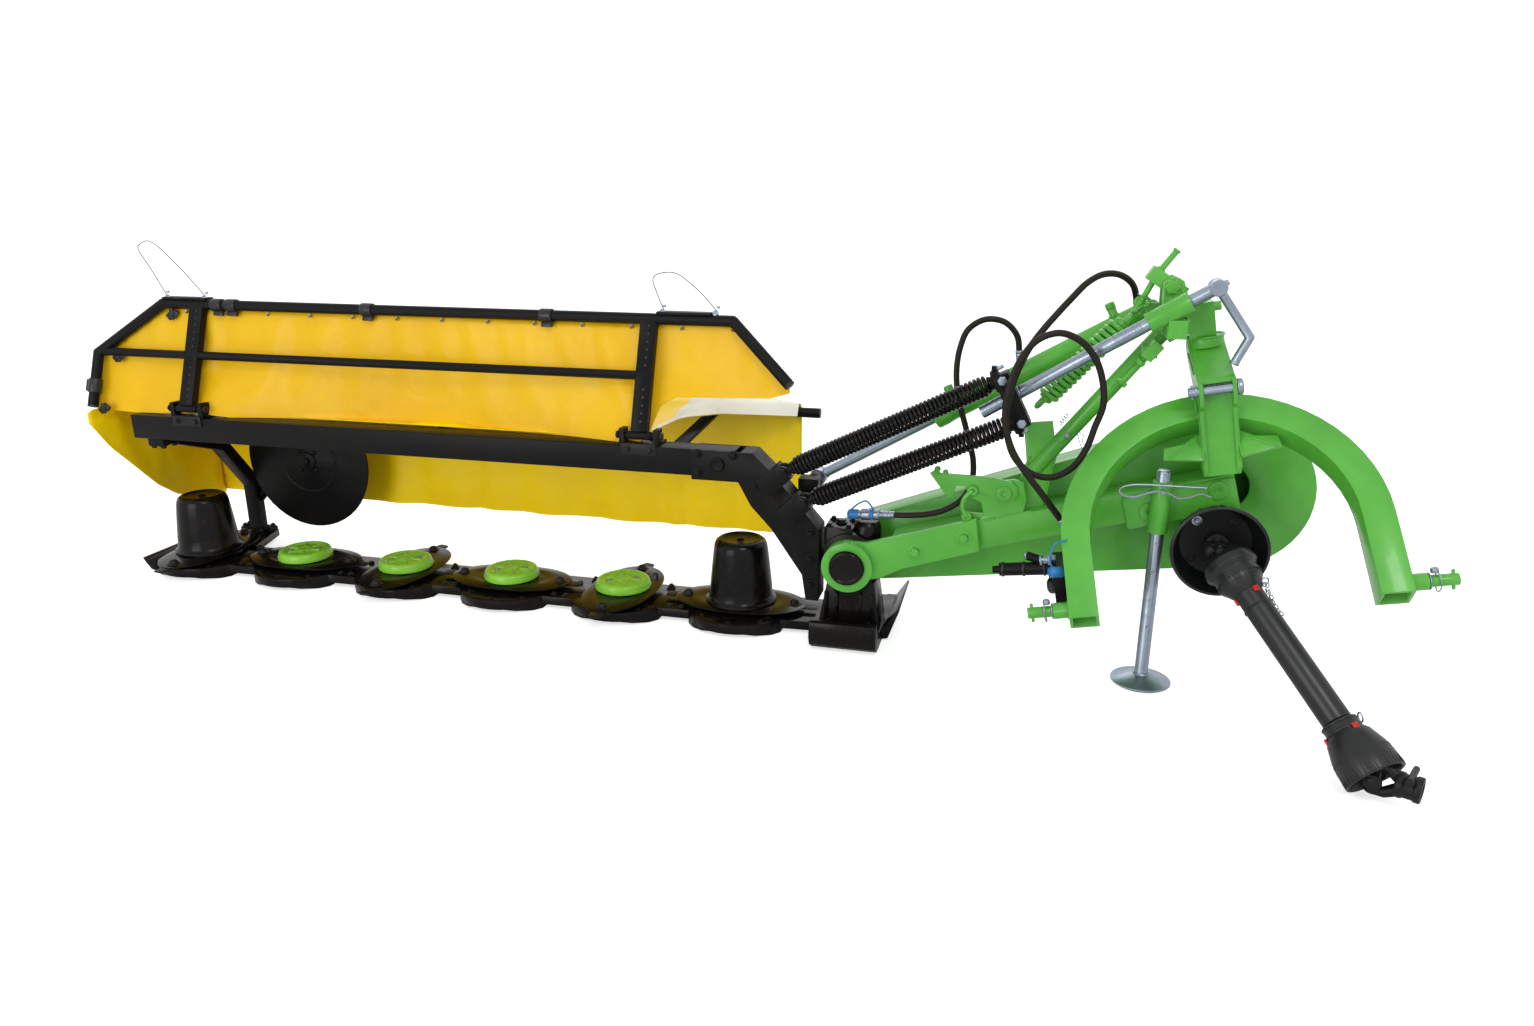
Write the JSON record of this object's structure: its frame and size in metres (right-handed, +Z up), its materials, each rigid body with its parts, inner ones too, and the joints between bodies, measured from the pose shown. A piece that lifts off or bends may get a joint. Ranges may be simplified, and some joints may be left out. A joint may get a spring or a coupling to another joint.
{
  "type": "disc mower",
  "caption": "Tractor-mounted disc mower parked on its cutterbar and stand leg, with hitch arch, raised front guard, curtains, lift cylinder and drive shaft.",
  "frame": {"origin": "middle of the footprint, on the ground", "axes": "+X towards the hitch end along the cutterbar, -Y towards the tractor, +Z up"},
  "size_m": [4.0934, 1.1372, 1.1665],
  "materials": {
    "green_paint": "gloss",
    "black_paint": "gloss",
    "satin_black_paint": "satin",
    "lime_plastic": "gloss",
    "yellow_tarpaulin": "semi-gloss coated cloth",
    "zinc_plate": "bright plated",
    "hose_rubber": "matte",
    "black_plastic": "satin"
  },
  "bodies": {
    "headstock": {"hitch_arch": "green_paint", "lower_hitch_pin_left": "green_paint", "lower_hitch_pin_right": "green_paint", "mast_post": "green_paint", "arch_gusset_left": "green_paint", "arch_gusset_right": "green_paint", "top_link_pin": "zinc_plate", "breakaway_device": "satin_black_paint"},
    "carrier": {"carrier_beam": "green_paint", "pivot_arm": "green_paint", "belt_guard": "green_paint", "diagonal_strut": "green_paint", "mast_head": "green_paint", "tension_spindle": "zinc_plate", "spring_yoke": "satin_black_paint", "balance_spring_upper": "black_paint", "balance_spring_lower": "black_paint", "relief_spring": "green_paint", "tension_bar": "green_paint", "adjuster_bolt": "green_paint", "stand_sleeve": "green_paint", "driveline_guard_bowl": "black_plastic", "driveline_input_yoke": "satin_black_paint", "cylinder_pin": "green_paint", "hose_a": "hose_rubber", "hose_b": "hose_rubber"},
    "cutterbar_unit": {"cutterbar": "black_paint", "inner_shoe": "black_paint", "gearbox": "black_paint", "inner_bracket": "satin_black_paint", "guard_beam": "satin_black_paint", "guard_hinge_left": "satin_black_paint", "guard_hinge_right": "satin_black_paint", "outer_arm": "satin_black_paint", "swath_disc_arm": "satin_black_paint", "rear_rail": "satin_black_paint", "rear_curtain": "yellow_tarpaulin"},
    "front_guard": {"front_guard_frame": "satin_black_paint", "front_curtain": "yellow_tarpaulin"},
    "swath_disc": {"swath_disc": "satin_black_paint"},
    "stand": {"stand_leg": "zinc_plate"},
    "driveline_outer": {"driveline_outer_tube": "black_plastic"},
    "driveline_inner": {"driveline_inner_tube": "black_plastic", "driveline_end_yoke": "satin_black_paint"},
    "cylinder_barrel": {"lift_cylinder_barrel": "green_paint"},
    "cylinder_rod": {"lift_cylinder_rod": "zinc_plate"},
    "disc_1": {"disc_1": "black_paint", "disc_drum_1": "black_paint"},
    "disc_2": {"disc_2": "black_paint", "disc_cap_2": "lime_plastic"},
    "disc_3": {"disc_3": "black_paint", "disc_cap_3": "lime_plastic"},
    "disc_4": {"disc_4": "black_paint", "disc_cap_4": "lime_plastic"},
    "disc_5": {"disc_5": "black_paint", "disc_cap_5": "lime_plastic"},
    "disc_6": {"disc_6": "black_paint", "disc_drum_6": "black_paint"}
  },
  "joints": [
    {"name": "breakaway", "type": "hinge", "parent": "headstock", "child": "carrier", "pos_m": [1.61299, 0.08463, 0.39562], "axis": [0.1891, 0, -0.982], "range_deg": [0, 25]},
    {"name": "cutterbar_lift", "type": "hinge", "parent": "carrier", "child": "cutterbar_unit", "pos_m": [0.59862, 0.08463, 0.262], "axis": [0, 1, 0], "range_deg": [-12, 72], "deforming": ["balance_spring_upper", "balance_spring_lower"]},
    {"name": "front_guard_hinge", "type": "hinge", "parent": "cutterbar_unit", "child": "front_guard", "pos_m": [-0.84338, 0.03663, 0.61], "axis": [1, 0, 0], "range_deg": [0, 110]},
    {"name": "swath_disc_spin", "type": "hinge", "parent": "cutterbar_unit", "child": "swath_disc", "pos_m": [-1.50738, 0.41963, 0.343], "axis": [0, 1, 0], "continuous": true},
    {"name": "stand_leg_slide", "type": "slide", "parent": "carrier", "child": "stand", "axis": [0, 0, 1], "range_m": [-0.25, 0.06]},
    {"name": "driveline_swing", "type": "hinge", "parent": "carrier", "child": "driveline_outer", "pos_m": [1.58462, -0.06737, 0.417], "axis": [-0.8165, -0.5773, 0], "range_deg": [0, 40]},
    {"name": "driveline_slide", "type": "slide", "parent": "driveline_outer", "child": "driveline_inner", "axis": [0.4787, -0.6771, -0.559], "range_m": [0, 0.2]},
    {"name": "lift_cylinder_swing", "type": "hinge", "parent": "carrier", "child": "cylinder_barrel", "pos_m": [1.37862, 0.22463, 0.998], "axis": [0, 1, 0], "range_deg": [-14, 4]},
    {"name": "lift_cylinder_extend", "type": "slide", "parent": "cylinder_barrel", "child": "cylinder_rod", "axis": [-0.8648, 0, -0.5022], "range_m": [-0.27, 0.08]},
    {"name": "disc_1_spin", "type": "hinge", "parent": "cutterbar_unit", "child": "disc_1", "pos_m": [-1.76738, 0.16463, 0.064], "axis": [0, 0, 1], "continuous": true},
    {"name": "disc_2_spin", "type": "hinge", "parent": "cutterbar_unit", "child": "disc_2", "pos_m": [-1.36738, 0.16463, 0.064], "axis": [0, 0, 1], "continuous": true},
    {"name": "disc_3_spin", "type": "hinge", "parent": "cutterbar_unit", "child": "disc_3", "pos_m": [-0.96738, 0.16463, 0.064], "axis": [0, 0, 1], "continuous": true},
    {"name": "disc_4_spin", "type": "hinge", "parent": "cutterbar_unit", "child": "disc_4", "pos_m": [-0.56738, 0.16463, 0.064], "axis": [0, 0, 1], "continuous": true},
    {"name": "disc_5_spin", "type": "hinge", "parent": "cutterbar_unit", "child": "disc_5", "pos_m": [-0.16738, 0.16463, 0.064], "axis": [0, 0, 1], "continuous": true},
    {"name": "disc_6_spin", "type": "hinge", "parent": "cutterbar_unit", "child": "disc_6", "pos_m": [0.23262, 0.16463, 0.064], "axis": [0, 0, 1], "continuous": true}
  ],
  "couplings": [
    {"joint": "lift_cylinder_swing", "follows": "cutterbar_lift", "ratio": -0.11449},
    {"joint": "lift_cylinder_extend", "follows": "cutterbar_lift", "m_per_rad": -0.20589},
    {"joint": "disc_2_spin", "follows": "disc_1_spin", "ratio": -1},
    {"joint": "disc_3_spin", "follows": "disc_1_spin", "ratio": 1},
    {"joint": "disc_4_spin", "follows": "disc_1_spin", "ratio": -1},
    {"joint": "disc_5_spin", "follows": "disc_1_spin", "ratio": 1},
    {"joint": "disc_6_spin", "follows": "disc_1_spin", "ratio": -1}
  ]
}
